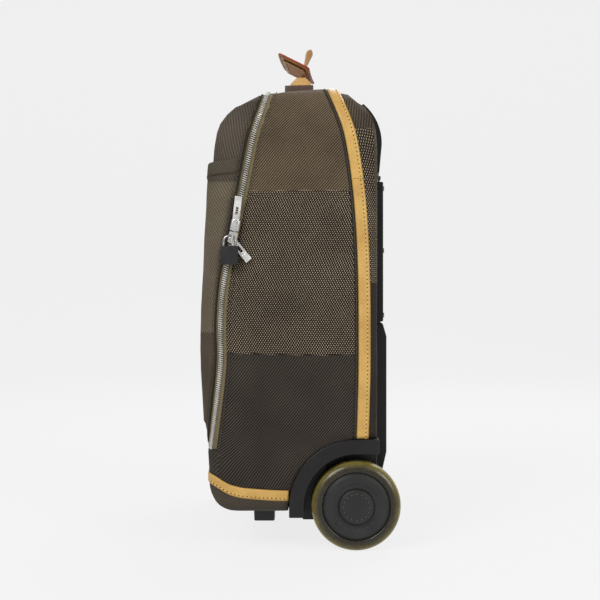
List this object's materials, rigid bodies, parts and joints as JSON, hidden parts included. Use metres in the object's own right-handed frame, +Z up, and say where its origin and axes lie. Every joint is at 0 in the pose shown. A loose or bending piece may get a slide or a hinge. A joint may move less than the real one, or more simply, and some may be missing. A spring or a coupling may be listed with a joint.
{
  "type": "pilot rolling flight case",
  "caption": "Soft-sided two-wheeled rolling pilot case with zipped lid, front pocket, leather trims, telescopic trolley handle, carry handle, luggage tag and padlock.",
  "frame": {"origin": "middle of the footprint at floor height, under the centre of the whole case's box", "axes": "+Z up, -Y the front with the zipped lid and pocket, +Y the back with the wheels and trolley handle, +X the case's right as seen from behind"},
  "size_m": [0.3812, 0.2318, 0.601],
  "materials": {
    "canvas": "woven canvas in broad tonal bands",
    "board": "matt",
    "hoop_steel": "bright",
    "webbing": "woven webbing",
    "tan_leather": "natural, semi-matt",
    "zip_tape": "woven tape",
    "zip_metal": "polished",
    "black_plastic": "fine grain",
    "grip_plastic": "satin",
    "steel": "plated",
    "tube_metal": "black anodised",
    "wheel_rubber": "translucent polyurethane",
    "hub_plastic": "satin",
    "padlock_black": "satin enamel",
    "shackle_steel": "polished",
    "dark_leather": "semi-matt",
    "tag_leather": "natural with painted edge",
    "tag_clear": "clear",
    "stud_metal": "aged"
  },
  "bodies": {
    "case": {"side_panel_right": "canvas", "side_panel_left": "canvas", "top_panel": "canvas", "back_panel": "canvas", "front_sill": "canvas", "base_panel": "canvas", "back_board": "board", "base_board": "board", "frame_hoop": "hoop_steel", "packing_straps": "webbing", "back_trim": "tan_leather", "base_band": "tan_leather", "zip_tape_case": "zip_tape", "zip_teeth_case": "zip_metal", "wheel_housing_right": "black_plastic", "wheel_housing_left": "black_plastic", "wheel_axles": "steel", "axle_rings": "steel", "outer_tube_right": "tube_metal", "outer_tube_left": "tube_metal", "back_housing": "black_plastic", "skid_right": "black_plastic", "skid_left": "black_plastic", "housing_screws": "steel", "front_foot": "black_plastic", "foot_bolts": "steel", "handle_patches": "dark_leather", "handle_chapes": "steel"},
    "lid": {"lid_panel": "canvas", "lid_board": "board", "pocket_panel": "canvas", "pocket_hem": "canvas", "zip_tape_lid": "zip_tape", "zip_teeth_lid": "zip_metal"},
    "wheel_right": {"tyre_right": "wheel_rubber", "wheel_core_right": "hub_plastic", "hub_cap_right": "hub_plastic", "bearings_right": "steel"},
    "wheel_left": {"tyre_left": "wheel_rubber", "wheel_core_left": "hub_plastic", "hub_cap_left": "hub_plastic", "bearings_left": "steel"},
    "trolley_mid": {"mid_tube_right": "tube_metal", "mid_tube_left": "tube_metal", "mid_collars": "black_plastic"},
    "trolley_grip": {"inner_tube_right": "tube_metal", "inner_tube_left": "tube_metal", "grip": "grip_plastic"},
    "release_button": {"grip_button": "grip_plastic"},
    "upper_slider": {"zip_slider_upper": "zip_metal"},
    "upper_pull": {"zip_pull_upper": "zip_metal"},
    "lower_slider": {"zip_slider_lower": "zip_metal"},
    "lower_pull": {"zip_pull_lower": "zip_metal"},
    "shackle": {"padlock_shackle": "shackle_steel"},
    "padlock": {"padlock_body": "padlock_black"},
    "top_handle": {"carry_handle": "tan_leather"},
    "tag": {"tag_strap": "tag_leather", "tag_panel": "tag_leather", "tag_window": "tag_clear", "tag_stud": "stud_metal"}
  },
  "joints": [
    {"name": "lid_hinge", "type": "hinge", "parent": "case", "child": "lid", "pos_m": [0, -0.1025, 0.112], "axis": [1, 0, 0], "range_deg": [0, 95]},
    {"name": "wheel_right_spin", "type": "hinge", "parent": "case", "child": "wheel_right", "pos_m": [0.17, 0.0658, 0.05], "axis": [1, 0, 0], "continuous": true},
    {"name": "wheel_left_spin", "type": "hinge", "parent": "case", "child": "wheel_left", "pos_m": [-0.17, 0.0658, 0.05], "axis": [1, 0, 0], "continuous": true},
    {"name": "trolley_mid_slide", "type": "slide", "parent": "case", "child": "trolley_mid", "axis": [0, 0, 1], "range_m": [0, 0.25]},
    {"name": "trolley_grip_slide", "type": "slide", "parent": "trolley_mid", "child": "trolley_grip", "axis": [0, 0, 1], "range_m": [0, 0.25]},
    {"name": "button_press", "type": "slide", "parent": "trolley_grip", "child": "release_button", "axis": [0, -0.45, 0.893], "range_m": [0, 0.003], "stiffness_N_per_m": 900, "springref_m": -0.0012},
    {"name": "upper_slider_run", "type": "slide", "parent": "case", "child": "upper_slider", "axis": [0, 0.1973, 0.9804], "range_m": [0, 0.085]},
    {"name": "upper_pull_swing", "type": "hinge", "parent": "upper_slider", "child": "upper_pull", "pos_m": [0.18675, -0.06834, 0.36588], "axis": [1, 0, 0], "range_deg": [-30, 30]},
    {"name": "lower_slider_run", "type": "slide", "parent": "case", "child": "lower_slider", "axis": [0, 0.1973, 0.9804], "range_m": [-0.02, 0]},
    {"name": "lower_pull_swing", "type": "hinge", "parent": "lower_slider", "child": "lower_pull", "pos_m": [0.18675, -0.07227, 0.34637], "axis": [1, 0, 0], "range_deg": [-35, 77]},
    {"name": "shackle_swing", "type": "hinge", "parent": "lower_slider", "child": "shackle", "pos_m": [0.1906, -0.07164, 0.34951], "axis": [1, 0, 0], "range_deg": [-20, 0]},
    {"name": "padlock_release", "type": "slide", "parent": "shackle", "child": "padlock", "axis": [0, 0, -1], "range_m": [0, 0.006]},
    {"name": "handle_swing", "type": "hinge", "parent": "case", "child": "top_handle", "pos_m": [0, 0.003, 0.533], "axis": [1, 0, 0], "range_deg": [-35, 35]},
    {"name": "tag_swing", "type": "hinge", "parent": "top_handle", "child": "tag", "pos_m": [0, 0.003, 0.552], "axis": [1, 0, 0], "range_deg": [-40, 30]}
  ]
}
